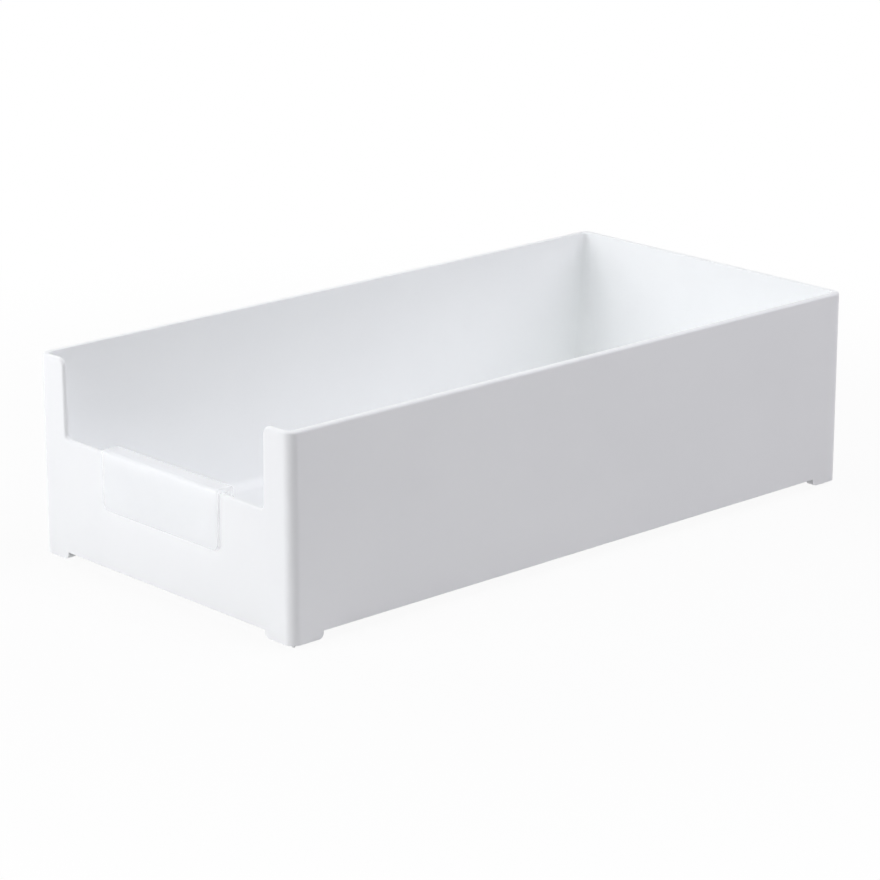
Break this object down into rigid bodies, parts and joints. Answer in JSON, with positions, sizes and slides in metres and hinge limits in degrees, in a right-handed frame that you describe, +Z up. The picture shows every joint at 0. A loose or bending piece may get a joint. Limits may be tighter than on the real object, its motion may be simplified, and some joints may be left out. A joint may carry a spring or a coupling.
{
  "type": "modular storage box",
  "caption": "Long open-topped storage box with a cut-down front, corner feet for stacking and a clip-on label holder over the front lip.",
  "frame": {"origin": "on the floor under the middle of the whole part, at the height of the pips under the feet", "axes": "+X to the right as seen from the front, +Y from the notched front to the back, +Z up"},
  "size_m": [0.13, 0.261, 0.072],
  "materials": {
    "body_plastic": "smooth satin moulded polypropylene, white",
    "holder_plastic": "frosted translucent moulded plastic, natural white"
  },
  "bodies": {
    "box": {"box_body": "body_plastic"},
    "label_holder": {"label_holder": "holder_plastic"}
  },
  "joints": [
    {"name": "label_holder_lift", "type": "slide", "parent": "box", "child": "label_holder", "axis": [0, 0, 1], "range_m": [0, 0.021]}
  ]
}
